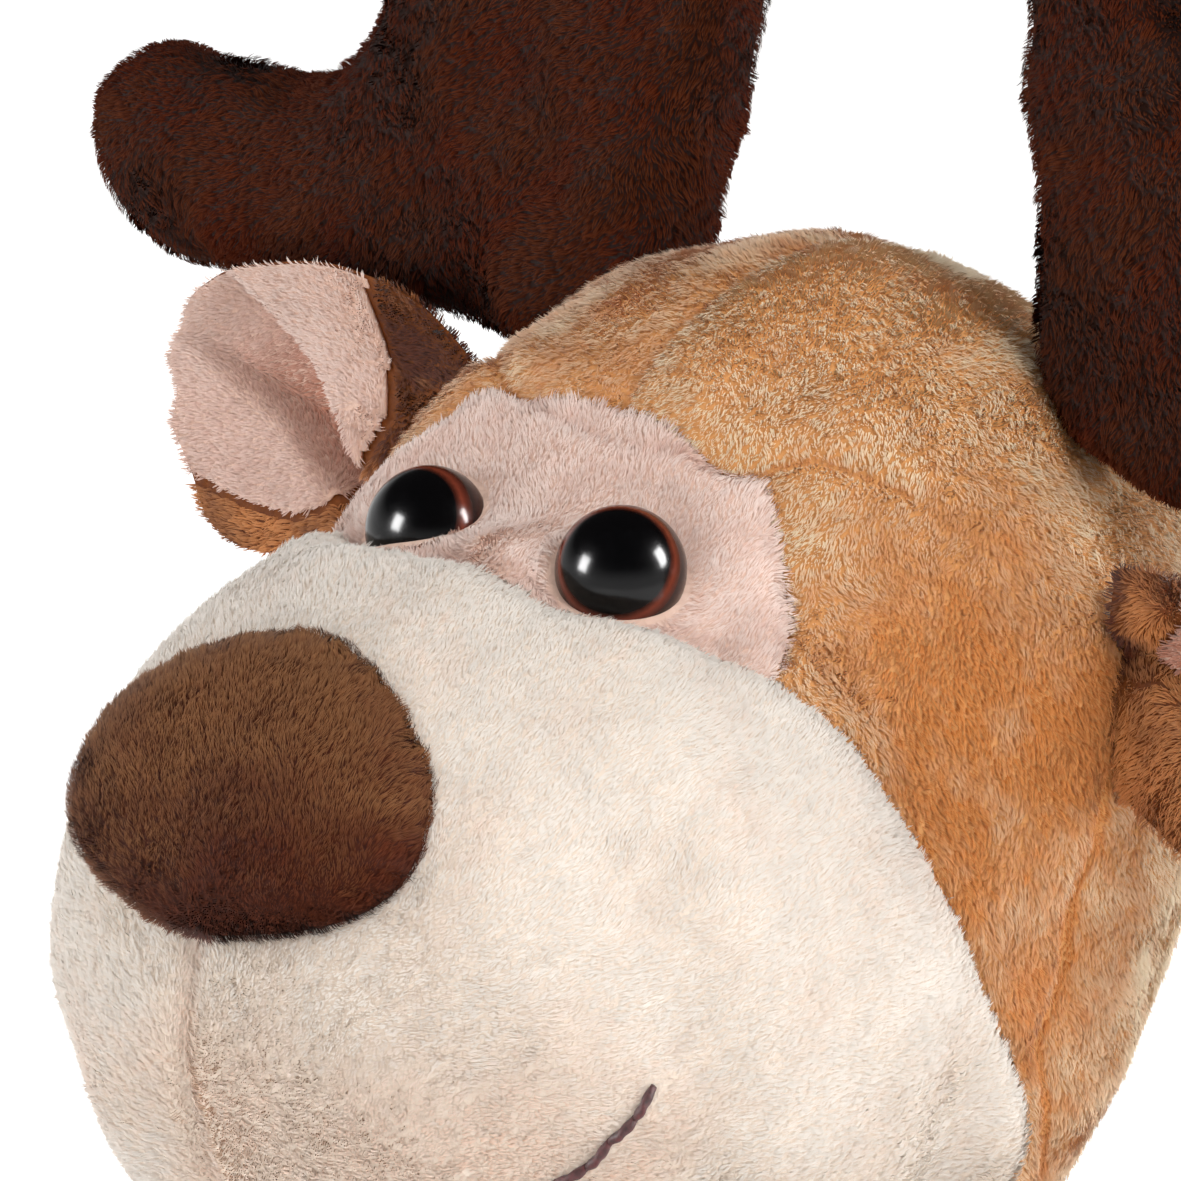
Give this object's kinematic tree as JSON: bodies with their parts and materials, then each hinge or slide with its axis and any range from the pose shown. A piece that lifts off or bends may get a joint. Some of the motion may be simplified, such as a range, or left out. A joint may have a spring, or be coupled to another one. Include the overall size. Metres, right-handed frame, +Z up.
{
  "type": "plush deer",
  "caption": "Seated stuffed deer with a round muzzle, plush antlers, folding ears and limbs that flex at their seams.",
  "frame": {"origin": "centre of the flat seat under the torso", "axes": "+Z up, the deer faces -Y, its left side is +X"},
  "size_m": [0.2182, 0.1983, 0.2603],
  "materials": {
    "tan_plush": "short plush pile",
    "cream_plush": "short plush pile",
    "pink_plush": "short plush pile",
    "brown_plush": "fine short pile",
    "nose_plush": "fine velvet pile",
    "ear_back_plush": "short plush pile",
    "eye_plastic": "polished dome",
    "washer_plastic": "moulded",
    "embroidery_thread": "twisted thread",
    "fibre_fill": "loose polyester fibre",
    "bag_cloth": "woven cloth bag of plastic pellets"
  },
  "bodies": {
    "torso": {"torso_cover": "tan_plush", "torso_stuffing": "fibre_fill", "pellet_bag": "bag_cloth", "tail": "tan_plush"},
    "head": {"head_cover": "tan_plush", "muzzle_cover": "cream_plush", "face_patch": "pink_plush", "head_stuffing": "fibre_fill", "eye_left": "eye_plastic", "eye_right": "eye_plastic", "washer_left": "washer_plastic", "washer_right": "washer_plastic", "nose": "nose_plush", "mouth_thread": "embroidery_thread", "antler_left": "brown_plush", "antler_right": "brown_plush"},
    "ear_left": {"ear_inner_left": "pink_plush", "ear_outer_left": "ear_back_plush"},
    "ear_right": {"ear_inner_right": "pink_plush", "ear_outer_right": "ear_back_plush"},
    "arm_left": {"arm_cover_left": "tan_plush", "arm_hoof_left": "brown_plush", "arm_stuffing_left": "fibre_fill"},
    "arm_right": {"arm_cover_right": "tan_plush", "arm_hoof_right": "brown_plush", "arm_stuffing_right": "fibre_fill"},
    "leg_left": {"leg_cover_left": "tan_plush", "leg_hoof_left": "brown_plush", "leg_stuffing_left": "fibre_fill"},
    "leg_right": {"leg_cover_right": "tan_plush", "leg_hoof_right": "brown_plush", "leg_stuffing_right": "fibre_fill"}
  },
  "joints": [
    {"name": "neck_nod", "type": "hinge", "parent": "torso", "child": "head", "pos_m": [0, -0.001, 0.1376], "axis": [-1, 0, 0], "range_deg": [-12, 12], "stiffness_Nm_per_rad": 1},
    {"name": "ear_left_fold", "type": "hinge", "parent": "head", "child": "ear_left", "pos_m": [0.044, 0.0015, 0.183], "axis": [0, 0, 1], "range_deg": [-15, 4], "stiffness_Nm_per_rad": 0.01},
    {"name": "ear_right_fold", "type": "hinge", "parent": "head", "child": "ear_right", "pos_m": [-0.044, 0.0015, 0.183], "axis": [0, 0, 1], "range_deg": [-4, 15], "stiffness_Nm_per_rad": 0.01},
    {"name": "arm_left_swing", "type": "hinge", "parent": "torso", "child": "arm_left", "pos_m": [0.03, -0.004, 0.088], "axis": [-1, 0, 0], "range_deg": [-35, 45], "stiffness_Nm_per_rad": 0.15},
    {"name": "arm_right_swing", "type": "hinge", "parent": "torso", "child": "arm_right", "pos_m": [-0.03, -0.004, 0.088], "axis": [-1, 0, 0], "range_deg": [-35, 45], "stiffness_Nm_per_rad": 0.15},
    {"name": "leg_left_lift", "type": "hinge", "parent": "torso", "child": "leg_left", "pos_m": [0.026, -0.02, 0.0225], "axis": [-1, 0, 0], "range_deg": [0, 25], "stiffness_Nm_per_rad": 0.15},
    {"name": "leg_right_lift", "type": "hinge", "parent": "torso", "child": "leg_right", "pos_m": [-0.026, -0.02, 0.0225], "axis": [-1, 0, 0], "range_deg": [0, 25], "stiffness_Nm_per_rad": 0.15}
  ]
}
